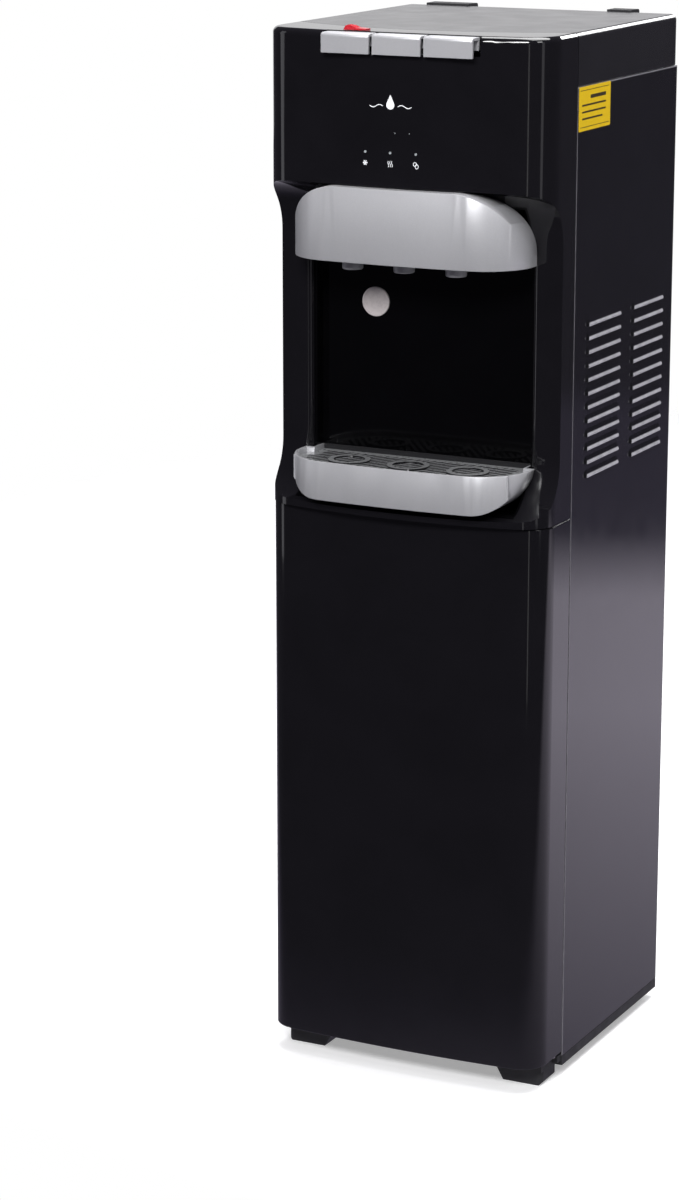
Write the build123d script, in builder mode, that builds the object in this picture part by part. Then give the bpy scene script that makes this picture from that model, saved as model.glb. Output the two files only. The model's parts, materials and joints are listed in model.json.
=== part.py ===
"""Floor-standing bottom-loading water dispenser, built as separate pieces.

Millimetres. +Z is up, the front faces -Y. The origin is on the floor, under
the middle of the whole object.
"""
import os
from math import cos, radians, sin

from build123d import *

os.makedirs("parts", exist_ok=True)

# ---------------------------------------------------------------- driving sizes
width = 300.0             # across the two side panels
body_depth = 325.0        # back panel to the middle of the door's front
side_depth = 253.0        # front to back length of a side panel
bay_overhang = 25.0       # how far the drip tray stands ahead of the door
rear_gap = 25.0           # room behind the back panel for the condenser

foot_height = 14.0
skirt_bottom = 11.0
skirt_height = 10.0
door_bottom = 26.0
door_height = 552.0
chin_height = 5.7         # strip of fascia between the door and the bay
bay_height = 315.5
brow_height = 145.0       # control face above the bay
cap_height = 50.5         # skirt of the top cover

shell = 3.0               # moulded walls
sheet = 1.0               # sheet-steel panels
seam = 0.8                # gap between two shells
slack = 0.3               # gap round a piece that is set into another

door_bow = 7.0            # bow of the door's front, from its sides to its middle
brow_bow = 18.0           # the same for the fascia
brow_lead = 13.0          # how far the fascia's middle stands ahead of the door's
corner_radius = 34.0      # plan corners at the fascia's front
door_corner = 27.0        # plan corners at the door's front
edge_radius = 6.0         # rounded top edge
seam_edge = 0.8           # small rounds along the seams between shells

# ------------------------------------------------------------- places from them
tray_front_y = -(bay_overhang + body_depth + rear_gap) / 2
door_y = tray_front_y + bay_overhang
back_y = door_y + body_depth
rear_y = back_y + rear_gap
seam_y = back_y - side_depth
brow_y = door_y - brow_lead

skirt_top = skirt_bottom + skirt_height
door_top = door_bottom + door_height
fascia_bottom = door_top + seam
bay_bottom = fascia_bottom + chin_height
bay_top = bay_bottom + bay_height
height = bay_top + brow_height
cap_bottom = height - cap_height
half = width / 2
inner_half = half - sheet

# Dispensing bay
column_y = door_y + 42.0          # face of the two columns beside the niche
cove_radius = 54.0                # scooped corners above and below the columns
niche_half = 118.0
niche_depth = 21.0                # from the columns back to the niche's wall
niche_round = 8.0
niche_wall = 2.0
niche_y = column_y + niche_depth
niche_floor = bay_bottom + 5.0
niche_top = bay_top - 16.0

# Tap canopy and drip tray share one bowed plan
bow_half = 124.0
bow_sagitta = 7.0
bow_corner = 52.0
bow_wall = 2.5
canopy_front_y = tray_front_y + 3.0
canopy_bottom = bay_top - 73.0
canopy_round = 62.0
canopy_flat = 0.6         # the sides of its front view cut that much off its plan
tray_rim = bay_bottom + 46.0
tray_bottom = bay_bottom + 7.5
tray_round = 40.0
grille_drop = 5.0

# Taps
tap_pitch = 55.0
tap_y = door_y + 7.0
tap_radius = 10.25
tap_bottom = canopy_bottom - 10.0
tap_bore = 5.0

# Push paddles
paddle_pitch = 53.7
paddle_width = 50.3
paddle_shift = 3.0        # the row of paddles stands a little off the middle
paddle_front_y = brow_y - 7.0
paddle_drop = 19.0
paddle_wall = 3.0
paddle_depth = 17.0
paddle_top = height - 1.0
axle_radius = 2.0
axle_slack = 0.05
axle_y = paddle_front_y + 44.0
axle_z = height - 12.0
axle_boss = 4.2
pocket_half = 1.5 * paddle_pitch + 1.0
pocket_x = (paddle_shift - pocket_half, paddle_shift + pocket_half)
pocket_wall = 2.5
pocket_floor = paddle_top - paddle_drop + 1.0
spring_y = axle_y - 22.0
spring_radius = 2.4
spring_wire = 0.3
prong_y = axle_y - 10.0
prong_half = 1.5
lock_travel = 5.0

# Door hinge
pin_x = half - 6.5
pin_y = seam_y - 14.0
pin_radius = 2.5
pin_slack = 0.05
boss_radius = 5.5
boss_height = 18.0

# Bottle compartment
deck_sheet = 1.5
deck_z = fascia_bottom + 1.0
bottle_radius = 135.0
bottle_y = back_y - 152.0
base_top = door_bottom - 2.5
base_front_y = seam_y - 9.0

# Cold and hot side
shelf_z = deck_z + 190.0
tank_z = shelf_z + 18.0
tank_height = 140.0
tank_wall = 1.2
neck_bore = 3.5
cold_x = 62.0
hot_x = -88.0
tank_y = back_y - 100.0
cold_radius = 56.0
coil_radius = 3.0
foam = 16.0
hot_radius = 42.0
compressor_y = back_y - 100.0
compressor_radius = 60.0
compressor_wall = 3.5
motor_radius = 42.0
pump_y = seam_y + 38.0
pump_radius = 20.0
spigot_z = canopy_bottom + 34.0
spigot_radius = 6.0
pipe_radius = 4.0
pipe_bore = 2.8
pipe_bend = 11.0


# -------------------------------------------------------------------- helpers
def save(piece, name):
    """Label a finished piece and write it as its own STEP file."""
    piece.part.label = name
    export_step(piece.part, f"parts/{name}.step")


def block(x, y, z, mode=Mode.ADD):
    """A box between two x, two y and two z values."""
    centre = ((x[0] + x[1]) / 2, (y[0] + y[1]) / 2, (z[0] + z[1]) / 2)
    with Locations(centre):
        Box(x[1] - x[0], y[1] - y[0], z[1] - z[0], mode=mode)


def rod(start, direction, length, radius, mode=Mode.ADD):
    """A round bar from a point along a direction."""
    with BuildSketch(Plane(origin=start, z_dir=direction)) as section:
        Circle(radius)
    extrude(section.sketch, amount=length, mode=mode)


def hose(points, bend, radius, bore=0.0):
    """A pipe along straight runs joined by tangent arcs."""
    with BuildLine() as route:
        FilletPolyline(*points, radius=bend)
    with BuildSketch(Plane(origin=route.line @ 0, z_dir=route.line % 0)) as section:
        Circle(radius)
        if bore:
            Circle(bore, mode=Mode.SUBTRACT)
    sweep(section.sketch, path=route.line)


def bowed(z, front, bow, corner, rear, side, mode=Mode.ADD):
    """A slab whose plan has straight sides, a bowed front and two round front corners."""
    with BuildSketch(Plane.XY.offset(z[0])) as outline:
        with BuildLine():
            ThreePointArc((-side, front + bow), (0, front), (side, front + bow))
            Polyline((side, front + bow), (side, rear), (-side, rear), (-side, front + bow))
        make_face()
        fillet(outline.vertices().group_by(Axis.Y)[0], corner)
    extrude(outline.sketch, amount=z[1] - z[0], mode=mode)


def scoop(grow, mode):
    """The room of the dispensing bay, right across and open to the front."""
    far = tray_front_y - 60.0
    back = column_y + grow
    with BuildSketch(Plane.YZ) as profile:
        with Locations(((far + back) / 2, (bay_bottom + bay_top) / 2)):
            Rectangle(back - far, bay_height + 2 * grow)
        fillet(profile.vertices().group_by(Axis.X)[-1], cove_radius + grow)
    extrude(profile.sketch, amount=width, both=True, mode=mode)


def round_front_view(z, side, radius, edge, mode):
    """Front view with two round corners, at the top (edge -1) or the bottom (edge 0)."""
    with BuildSketch(Plane.XZ) as view:
        with Locations((0, (z[0] + z[1]) / 2)):
            Rectangle(2 * side, z[1] - z[0])
        fillet(view.vertices().group_by(Axis.Y)[edge], radius)
    extrude(view.sketch, amount=width, both=True, mode=mode)


def brow_bow_at(x):
    """How far the fascia's front has fallen back at a distance from its middle."""
    return brow_bow * (x / half) ** 2


# ------------------------------------------------------------- base and feet
ear_front = seam_y - 37.0
ear_inner = half - 57.0
rear_foot_x = half - 28.0
rear_foot_y = back_y - 30.0
stud_radius = 4.0
with BuildPart() as base_pan:
    block((-half, half), (seam_y, back_y), (skirt_bottom, skirt_top))
    rim = inner_half - slack
    block((-rim, rim), (base_front_y, back_y - 3.0), (skirt_bottom + 5.0, base_top))
    for sign in (-1, 1):
        ear = sorted((sign * ear_inner, sign * (half - 7.0)))
        block(ear, (ear_front, seam_y), (foot_height, base_top))
    room = half - 8.0
    block((-room, room), (seam_y + 6.0, back_y - 6.0), (skirt_bottom - 1, base_top - 3.0), Mode.SUBTRACT)
    for sign in (-1, 1):
        foot_x = sign * rear_foot_x
        rib = sorted((sign * 60.0, sign * 61.5))
        block(rib, (seam_y + 6.0, back_y - 6.0), (skirt_bottom + 3.0, base_top - 3.0))
        rod((foot_x, rear_foot_y, skirt_bottom + 1.0), (0, 0, 1), base_top - skirt_bottom - 4.0, 9.0)
        rod((foot_x, rear_foot_y, skirt_bottom), (0, 0, 1), base_top, stud_radius + 0.1, Mode.SUBTRACT)
    # ring that the bottle stands in, open to the door
    rod((0, bottle_y, base_top - 0.5), (0, 0, 1), 8.5, bottle_radius - 6.0)
    rod((0, bottle_y, base_top + 2.5), (0, 0, 1), 8.0, bottle_radius - 12.0, Mode.SUBTRACT)
    block((-half, half), (door_y, seam_y + 1.0), (base_top, base_top + 10), Mode.SUBTRACT)
save(base_pan, "base_pan")

with BuildPart() as front_feet:
    for sign in (-1, 1):
        with BuildSketch(Plane.XZ.offset(-ear_front - 1.0)) as side_view:
            with BuildLine():
                Polyline(
                    (sign * (ear_inner + 8.0), 0), (sign * (half - 10.0), 0),
                    (sign * (half - 7.0), 3.0), (sign * (half - 7.0), foot_height),
                    (sign * ear_inner, foot_height), (sign * (ear_inner + 8.0), 0),
                )
            make_face()
        extrude(amount=-34.0)
    fillet(front_feet.edges().filter_by(Axis.Z).group_by(Axis.Y)[0], 6.0)
save(front_feet, "front_feet")

for sign, name in ((-1, "left"), (1, "right")):
    with BuildPart() as rear_foot:
        centre = (sign * rear_foot_x, rear_foot_y, 0)
        rod(centre, (0, 0, 1), 6.0, 15.0)
        fillet(rear_foot.edges().group_by(Axis.Z)[-1], 2.0)
        rod(centre, (0, 0, 1), base_top - 1.0, stud_radius)
    save(rear_foot, f"rear_foot_{name}")

# -------------------------------------------------------------- sheet panels
panel_edge = 0.6
louvre_pitch = 13.6
louvre_rows = 12
louvre_low = fascia_bottom + 33.0
louvre_reach = 2.6
louvre_rise = 8.0
louvre_lip = 2.0
louvre_nose = 1.3
louvre_columns = ((seam_y + 33.0, seam_y + 112.0), (seam_y + 148.0, seam_y + 223.5))


def louvre_wedge(sign, inner, drop, span, z, mode):
    """One pressed hood with its rounded lip, or the cut behind it, set back by drop."""
    x0 = sign * inner
    tip = sign * (half + louvre_reach - drop)
    low = z - drop
    top = low + louvre_rise
    with BuildSketch(Plane.XZ.offset(-span[0])) as wedge:
        with BuildLine():
            Polyline((x0, low), (tip, low), (tip, low + louvre_lip), (sign * (half - drop), top), (x0, top),
                     (x0, low))
        make_face()
        if mode == Mode.ADD:
            outer = wedge.vertices().group_by(Axis.X)[-1 if sign > 0 else 0]
            fillet(outer.sort_by(Axis.Y)[0], louvre_nose)
    extrude(wedge.sketch, amount=span[0] - span[1], mode=mode)


def side_panel(sign):
    """Folded steel side with its louvres, a rear flange and a top flange."""
    panel_top = cap_bottom - 0.5
    with BuildPart() as panel:
        block(sorted((sign * inner_half, sign * half)), (seam_y, back_y), (skirt_top + 0.5, panel_top))
        outer = panel.faces().sort_by(Axis.X)[-1 if sign > 0 else 0]
        fillet(outer.edges().filter_by(Axis.Z).sort_by(Axis.Y)[0], panel_edge)
        block(sorted((sign * (half - 14), sign * inner_half)), (back_y - 2.2, back_y - 1.2),
              (skirt_top + 4.5, panel_top))
        for span in louvre_columns:
            for row in range(louvre_rows):
                z = louvre_low + row * louvre_pitch
                louvre_wedge(sign, half - 0.5, 0.0, span, z, Mode.ADD)
        for span in louvre_columns:
            inner = (span[0] + 1.2, span[1] - 1.2)
            for row in range(louvre_rows):
                z = louvre_low + row * louvre_pitch
                louvre_wedge(sign, inner_half - 1.0, 0.8, inner, z, Mode.SUBTRACT)
    return panel


save(side_panel(-1), "left_side_panel")
save(side_panel(1), "right_side_panel")

gland_x = -half + 38.0
gland_z = base_top + 60.0
gland_hole = 8.0
switch_z = cap_bottom - 24.0
switch_x = (-96.0, -60.0)
drain_x = -half + 24.0
drain_z = deck_z + 42.0
discharge_x = half - 21.0
discharge_z = deck_z + 68.0
panel_half = inner_half - slack
with BuildPart() as back_panel:
    block((-panel_half, panel_half), (back_y - sheet, back_y), (skirt_top + 0.5, cap_bottom - 1.0))
    holes = ((gland_x, gland_z, gland_hole), (drain_x, drain_z, 6.6), (discharge_x, discharge_z, 5.0))
    for x, z, radius in holes:
        rod((x, back_y - 5, z), (0, 1, 0), 10, radius, Mode.SUBTRACT)
    for x in switch_x:
        block((x - 10.2, x + 10.2), (back_y - 5, back_y + 5), (switch_z - 7.2, switch_z + 7.2), Mode.SUBTRACT)
    for row in range(6):
        z = base_top + 430.0 + row * 12.0
        for x in (-70.0, 0.0, 70.0):
            block((x - 22, x + 22), (back_y - 5, back_y + 5), (z, z + 4), Mode.SUBTRACT)
save(back_panel, "back_panel")

deck_front = seam_y + 14.0
suction_x = half - 24.0
suction_y = back_y - 26.0
with BuildPart() as mid_deck:
    block((-panel_half, panel_half), (deck_front, back_y - 2.6), (deck_z, deck_z + deck_sheet))
    block((-panel_half, panel_half), (deck_front, deck_front + deck_sheet), (deck_z - 18.0, deck_z))
    rod((suction_x, suction_y, deck_z - 1), (0, 0, 1), 5, 6.5, Mode.SUBTRACT)
    block((half - 40, half), (deck_front - 1, deck_front + 3), (deck_z - 19, deck_z - 0.01), Mode.SUBTRACT)
save(mid_deck, "mid_deck")

# ---------------------------------------------------------------- top cover
cover_dip = 40.0
with BuildPart() as top_cover:
    block((-half, half), (seam_y, back_y + 1.5), (cap_bottom, height))
    rear_corners = top_cover.edges().filter_by(Axis.Z).group_by(Axis.Y)[-1]
    fillet(rear_corners, 8.0)
    front_edge = top_cover.edges().filter_by(Axis.X).group_by(Axis.Y)[0]
    fillet(top_cover.faces().sort_by(Axis.Z)[-1].edges() - front_edge, edge_radius)
    lower_edges = top_cover.faces().sort_by(Axis.Z)[0].edges()
    fillet(lower_edges - lower_edges.filter_by(Axis.X).group_by(Axis.Y)[0], seam_edge)
    block((-half + shell, half - shell), (seam_y - 1, back_y + 1.5 - shell), (cap_bottom - 1, height - shell),
          Mode.SUBTRACT)
    with BuildSketch(Plane.XY.offset(height - shell)) as tongue:
        with BuildLine():
            span = half - edge_radius - 2.0
            ThreePointArc((-span, seam_y), (0, seam_y - cover_dip), (span, seam_y))
            Line((span, seam_y), (-span, seam_y))
        make_face()
    extrude(tongue.sketch, amount=shell)
save(top_cover, "top_cover")

with BuildPart() as wall_spacers:
    for x in ((-130.0, -82.0), (72.0, 98.0)):
        block(x, (back_y + 1.6, rear_y), (height - 26.0, height + 1.5))
    fillet(wall_spacers.edges().filter_by(Axis.X).group_by(Axis.Y)[-1], 3.0)
save(wall_spacers, "wall_spacers")

# ------------------------------------------------------------------- fascia
niche_liner_half = niche_half - slack
lip_edge_y = paddle_front_y + paddle_depth + 1.5
lock_x = paddle_shift - paddle_pitch
lock_y = lip_edge_y + 8.0
lens_z = bay_top + 33.0
lens_pitch = 26.7
lens_shift = -5.5         # the row of lamps stands a little off the middle
lens_radius = 1.3
hinge_plate_z = fascia_bottom + shell
jamb_z = (bay_bottom + cove_radius - 8.0, bay_top - cove_radius)


def fascia_outline(z, inset, mode=Mode.ADD):
    """The fascia's plan, pulled in by a wall."""
    rear = seam_y - seam if inset == 0 else seam_y + 5.0
    bowed(z, brow_y + inset, brow_bow, corner_radius - inset, rear, half - inset, mode)


with BuildPart() as fascia_form:
    fascia_outline((fascia_bottom, height), 0)
    front_edges = fascia_form.edges().filter_by(Axis.Z, reverse=True).group_by(Axis.Z)[-1]
    fillet(front_edges - front_edges.filter_by(Axis.X), edge_radius)
    rear_edges = fascia_form.edges().filter_by(Axis.Z).group_by(Axis.Y)[-1]
    fillet(rear_edges, seam_edge)

with BuildPart() as fascia_void:
    fascia_outline((fascia_bottom + shell, height - shell), shell)
    scoop(shell, Mode.SUBTRACT)
    for sign in (-1, 1):
        jamb = sorted((sign * niche_half, sign * (niche_half + niche_round + shell)))
        block(jamb, (column_y - 1, column_y + niche_round + shell), (niche_floor - 10, niche_top + 10),
              Mode.SUBTRACT)
    block((pocket_x[0] - pocket_wall, pocket_x[1] + pocket_wall), (brow_y - 1.0, axle_y + 10.0),
          (pocket_floor - pocket_wall, height), Mode.SUBTRACT)

with BuildPart() as front_fascia:
    add(fascia_form.part)
    scoop(0.0, Mode.SUBTRACT)
    add(fascia_void.part, mode=Mode.SUBTRACT)
    niche_base = niche_floor - niche_wall - slack
    block((-niche_half, niche_half), (brow_y + 5.0, niche_y), (niche_base, niche_top), Mode.SUBTRACT)
    # round off the columns' corners where they turn into the niche
    jamb_x = niche_half + niche_round
    with BuildSketch(Plane.XY.offset(jamb_z[0])) as corners:
        with Locations((0, column_y + (niche_round - 2.0) / 2)):
            Rectangle(2 * jamb_x, niche_round + 2.0)
        with Locations((jamb_x, column_y + niche_round), (-jamb_x, column_y + niche_round)):
            Circle(niche_round, mode=Mode.SUBTRACT)
    extrude(corners.sketch, amount=jamb_z[1] - jamb_z[0], mode=Mode.SUBTRACT)
    # pocket under the paddles, open to the front and, ahead of the lip, to the top
    block(pocket_x, (tray_front_y - 20, axle_y + 7.5), (pocket_floor, height - shell), Mode.SUBTRACT)
    block(pocket_x, (tray_front_y - 20, lip_edge_y), (pocket_floor, height + 1), Mode.SUBTRACT)
    rod((pocket_x[0] - pocket_wall - 1, axle_y, axle_z), (1, 0, 0), 2 * (pocket_half + pocket_wall + 1),
        axle_radius + axle_slack, Mode.SUBTRACT)
    for number in (-1, 0, 1):
        x = paddle_shift + number * paddle_pitch
        block((x - 4, x + 4), (prong_y - 4, prong_y + 4), (pocket_floor - 5, pocket_floor + 1), Mode.SUBTRACT)
        lens_at = (lens_shift + number * lens_pitch, brow_y - 5, lens_z)
        rod(lens_at, (0, 1, 0), 15, lens_radius, Mode.SUBTRACT)
    # slot for the child lock's stem, and the dished edge that the top cover fits
    block((lock_x - 3.2, lock_x + 3.2), (lock_y - 2.6, lock_y + 2.6 + lock_travel), (height - 5, height + 1),
          Mode.SUBTRACT)
    with BuildSketch(Plane.XY.offset(height - shell - 0.1)) as dish:
        with BuildLine():
            span = half - edge_radius - 1.0
            dish_y = seam_y - seam
            ThreePointArc((-span, dish_y), (0, dish_y - cover_dip), (span, dish_y))
            Polyline((span, dish_y), (span, seam_y + 5), (-span, seam_y + 5), (-span, dish_y))
        make_face()
    extrude(dish.sketch, amount=20, mode=Mode.SUBTRACT)
    # hole for the door's upper pin
    rod((pin_x, pin_y, fascia_bottom - 1), (0, 0, 1), shell + 2, pin_radius + 0.3, Mode.SUBTRACT)
save(front_fascia, "front_fascia")

niche_back = niche_y + niche_wall
with BuildPart() as niche_panel:
    side = niche_liner_half
    block((-side, side), (column_y - cove_radius, niche_back), (niche_floor - niche_wall, niche_top - slack))
    block((-side + niche_wall, side - niche_wall), (column_y - cove_radius - 5, niche_y),
          (niche_floor, niche_top - slack - niche_wall), Mode.SUBTRACT)
    scoop(0.0, Mode.SUBTRACT)
    block((-half, half), (column_y - cove_radius - 5, column_y + niche_round), jamb_z, Mode.SUBTRACT)
    for number in (-1, 0, 1):
        rod((number * tap_pitch, niche_y - 5, spigot_z), (0, 1, 0), 20, spigot_radius + 0.4, Mode.SUBTRACT)
save(niche_panel, "niche_panel")


# ------------------------------------------------------------------- canopy
def canopy_solid(inset, low):
    """Bowed, round-shouldered canopy, pulled in by a wall."""
    top = bay_top - 1.0 - inset
    rear = column_y + 5.0 + inset
    side = bow_half - inset
    with BuildPart() as form:
        bowed((low, top), canopy_front_y + inset, bow_sagitta, bow_corner - inset, rear, side)
        round_front_view((low - 100, top), side - canopy_flat, canopy_round - inset, -1, Mode.INTERSECT)
    return form.part


with BuildPart() as tap_canopy:
    add(canopy_solid(0.0, canopy_bottom))
    add(canopy_solid(bow_wall, canopy_bottom - 5.0), mode=Mode.SUBTRACT)
    scoop(-slack, Mode.INTERSECT)
save(tap_canopy, "tap_canopy")

for number, name in ((-1, "hot"), (0, "room"), (1, "cold")):
    x = number * tap_pitch
    with BuildPart() as tap:
        rod((x, tap_y, tap_bottom), (0, 0, 1), 30.0, tap_radius)
        fillet(tap.edges().group_by(Axis.Z)[0], 1.6)
        rod((x, tap_y, tap_bottom + 26.0), (0, 0, 1), 26.0, tap_radius + 3.0)
        block((x - 12, x + 12), (tap_y, niche_y - 0.2), (spigot_z - 10, spigot_z + 9))
        rod((x, niche_y - 1.0, spigot_z), (0, 1, 0), 12.0, spigot_radius)
        rod((x, tap_y, tap_bottom - 1), (0, 0, 1), spigot_z - tap_bottom + 1, tap_bore, Mode.SUBTRACT)
        rod((x, tap_y, spigot_z), (0, 1, 0), niche_y - tap_y + 15.0, 3.0, Mode.SUBTRACT)
    save(tap, f"{name}_tap")

badge_x = -57.0
badge_z = canopy_bottom - 50.0
with BuildPart() as round_badge:
    rod((badge_x, niche_y - 2.2, badge_z), (0, 1, 0), 2.2, 14.7)
    fillet(round_badge.edges().group_by(Axis.Y)[0], 0.8)
    rod((badge_x, niche_y - 3.0, badge_z), (0, 1, 0), 1.3, 12.4, Mode.SUBTRACT)
save(round_badge, "round_badge")


# -------------------------------------------------------- drip tray and grille
def tray_solid(inset, low, top):
    """Bowed front of the tray, kept inside the bay, with its rear in the niche."""
    rear_half = niche_liner_half - niche_wall - slack - inset
    with BuildPart() as form:
        bowed((low, top), tray_front_y + inset, bow_sagitta, bow_corner - inset, column_y - slack - inset,
              bow_half - inset)
        scoop(-slack - inset, Mode.INTERSECT)
        start = column_y - cove_radius + 10.0 + inset
        block((-rear_half, rear_half), (start, niche_y - slack - inset), (low, top))
        round_front_view((tray_bottom + inset, top + 100), bow_half - inset, tray_round - inset, 0,
                         Mode.INTERSECT)
    return form.part


tray_floor = 2.5
tray_ledge = 5.0
grille_top = tray_rim - grille_drop
grille_thick = 2.0
grille_bottom = grille_top - grille_thick
with BuildPart() as drip_tray:
    add(tray_solid(0.0, tray_bottom, tray_rim))
    add(tray_solid(tray_ledge, tray_bottom + tray_floor, grille_bottom - 2.0), mode=Mode.SUBTRACT)
    add(tray_solid(tray_ledge, grille_bottom - 4.0, grille_bottom), mode=Mode.SUBTRACT)
    add(tray_solid(bow_wall, grille_bottom, tray_rim + 1.0), mode=Mode.SUBTRACT)
save(drip_tray, "drip_tray")

ring_pitch = 64.0
ring_y = niche_y - 45.0
ring_outer = 21.0
ring_inner = 15.5
slot_pitch = 8.4
slot_width = 4.0
slot_turn = 35.0
grille_rim = 9.0

with BuildPart() as grille_slots:
    add(tray_solid(bow_wall + grille_rim, grille_bottom - 1.0, grille_top + 1.0))
    with BuildSketch(Plane.XY.offset(grille_bottom - 1.0)) as rings:
        with Locations((0, ring_y)):
            with GridLocations(ring_pitch, 1, 3, 1):
                Circle(ring_outer)
                Circle(ring_inner, mode=Mode.SUBTRACT)
    extrude(rings.sketch, amount=5.0, mode=Mode.SUBTRACT)
    with BuildSketch(Plane.XY.offset(grille_bottom - 1.0)) as slots:
        count = int(2 * bow_half / slot_pitch) + 8
        with Locations((0, ring_y)):
            with GridLocations(slot_pitch, 1, count, 1):
                Rectangle(slot_width * cos(radians(slot_turn)), 150, rotation=-slot_turn)
    extrude(slots.sketch, amount=5.0, mode=Mode.INTERSECT)

with BuildPart() as drip_grille:
    add(tray_solid(bow_wall + slack, grille_bottom, grille_top))
    add(grille_slots.part, mode=Mode.SUBTRACT)
    with BuildSketch(Plane.XY.offset(grille_top)) as raised_rings:
        with Locations((0, ring_y)):
            with GridLocations(ring_pitch, 1, 3, 1):
                Circle(ring_outer)
                Circle(ring_inner, mode=Mode.SUBTRACT)
    extrude(raised_rings.sketch, amount=1.6)
save(drip_grille, "drip_grille")

# -------------------------------------------------------------- push paddles
for number, name in ((-1, "hot"), (0, "room"), (1, "cold")):
    x = paddle_shift + number * paddle_pitch
    low, high = paddle_top - paddle_drop, paddle_top
    arm_low = axle_z - 1.5
    step_y = paddle_front_y + paddle_depth
    with BuildPart() as paddle:
        block((x - paddle_width / 2, x + paddle_width / 2), (paddle_front_y, step_y), (low, high))
        fillet(paddle.edges().filter_by(Axis.X).group_by(Axis.Z)[-1].sort_by(Axis.Y)[0], 3.5)
        block((x - paddle_width, x + paddle_width), (paddle_front_y + paddle_wall, step_y - paddle_wall),
              (low - 1, high - paddle_wall), Mode.SUBTRACT)
        block((x - paddle_width, x + paddle_width), (step_y - paddle_wall - 0.01, step_y + 1),
              (low - 1, arm_low), Mode.SUBTRACT)
        block((x - paddle_width / 2 + 3, x + paddle_width / 2 - 3), (step_y - paddle_wall, axle_y),
              (arm_low, arm_low + 3.0))
        rod((x - paddle_width / 2 + 3, axle_y, axle_z), (1, 0, 0), paddle_width - 6, axle_boss)
        block((x - prong_half, x + prong_half), (prong_y - prong_half, prong_y + prong_half),
              (pocket_floor - 8.0, arm_low + 1))
        rod((x - paddle_width, axle_y, axle_z), (1, 0, 0), 2 * paddle_width, axle_radius + axle_slack,
            Mode.SUBTRACT)
    save(paddle, f"{name}_paddle")

    with BuildPart() as spring:
        spring_height = arm_low - pocket_floor - 2 * spring_wire - 0.2
        with BuildLine() as coil:
            start = (x - 12.0, spring_y, pocket_floor + spring_wire + 0.1)
            Helix(1.3, spring_height, spring_radius, center=start)
        with BuildSketch(Plane(origin=coil.line @ 0, z_dir=coil.line % 0)) as wire:
            Circle(spring_wire)
        sweep(wire.sketch, path=coil.line, is_frenet=True)
    save(spring, f"{name}_spring")

with BuildPart() as paddle_axle:
    reach = pocket_half + pocket_wall
    rod((paddle_shift - reach, axle_y, axle_z), (1, 0, 0), 2 * reach, axle_radius)
save(paddle_axle, "paddle_axle")

with BuildPart() as child_lock:
    with BuildSketch(Plane.XZ.offset(-lock_y + 5.0)) as hump:
        with BuildLine():
            left = lock_x - 12.0
            Polyline((left, height + 0.2), (left + 24.0, height + 0.2), (left + 24.0, height + 1.6),
                     (left + 14.0, height + 2.2), (left + 8.0, height + 4.4), (left + 2.5, height + 4.4),
                     (left, height + 0.2))
        make_face()
    extrude(hump.sketch, amount=-10.0)
    fillet(child_lock.edges().filter_by(Axis.Y).group_by(Axis.Z)[-1], 1.2)
    block((lock_x - 2.6, lock_x + 2.6), (lock_y - 2.2, lock_y + 2.2), (height - 4.2, height + 0.3))
    for step in range(3):
        y = lock_y - 2.4 + step * 2.4
        block((left + 3.4, left + 7.2), (y - 0.4, y + 0.4), (height + 4.3, height + 4.9))
save(child_lock, "child_lock")

board_z = pocket_floor - 22.0
with BuildPart() as microswitch_board:
    block((pocket_x[0] + 4, pocket_x[1] - 4), (prong_y - 12, prong_y + 12), (board_z, board_z + 1.6))
    for number in (-1, 0, 1):
        x = paddle_shift + number * paddle_pitch
        block((x - 10, x + 10), (prong_y - 3.2, prong_y + 3.2), (board_z + 1.6, board_z + 11.4))
        block((x - 1.2, x + 1.2), (prong_y - 1.2, prong_y + 1.2), (board_z + 11.4, pocket_floor - 9.2))
save(microswitch_board, "microswitch_board")

with BuildPart() as indicator_lenses:
    for number in (-1, 0, 1):
        x = lens_shift + number * lens_pitch
        face_y = brow_y + brow_bow_at(x)
        rod((x, face_y - 0.3, lens_z), (0, 1, 0), shell + 1.5, lens_radius - 0.05)
save(indicator_lenses, "indicator_lenses")

# --------------------------------------------------------------------- door
liner_y = bottle_y - bottle_radius - 20.0
door_rear = seam_y - 1.5
door_edge = 1.2
catch_z = door_bottom + 0.6 * door_height
with BuildPart() as door:
    bowed((door_bottom, door_top), door_y, door_bow, door_corner, door_rear, half)
    front_edges = door.edges().filter_by(Axis.Z, reverse=True).filter_by(Axis.X, reverse=True)
    fillet(front_edges.filter_by(lambda edge: edge.center().Y < pin_y - 8.0), door_edge)
    door_back = door.faces().sort_by(Axis.Y)[-1]
    fillet(door_back.edges().filter_by(Axis.Z), seam_edge)
    bowed((door_bottom + shell, door_top - shell), door_y + shell, door_bow, door_corner - shell,
          door_rear + 5.0, half - shell, Mode.SUBTRACT)
    for low in (door_bottom, door_top - boss_height):
        rod((pin_x, pin_y, low), (0, 0, 1), boss_height, boss_radius)
        rod((pin_x, pin_y, low - 1), (0, 0, 1), boss_height + 2, pin_radius + pin_slack, Mode.SUBTRACT)
    strike_x = (-half + shell - 0.5, -half + 15.0)
    block(strike_x, (door_rear - 5.0, door_rear - 2.5), (catch_z - 20, catch_z + 20))
save(door, "door")

with BuildPart() as door_liner:
    bowed((door_bottom + shell + slack, door_top - shell - slack), door_y + shell + slack, door_bow,
          door_corner - shell, door_rear, half - shell - slack)
    block((-half, half), (door_y - 5, liner_y - 2.0), (0, height), Mode.SUBTRACT)
    block((-half, half), (liner_y, seam_y), (0, height), Mode.SUBTRACT)
    for quarter in (1, 2, 3):
        rib_z = door_bottom + quarter / 4 * door_height
        block((-80, 80), (liner_y - 2.0, liner_y + 2.0), (rib_z, rib_z + 4.0))
save(door_liner, "door_liner")

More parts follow.
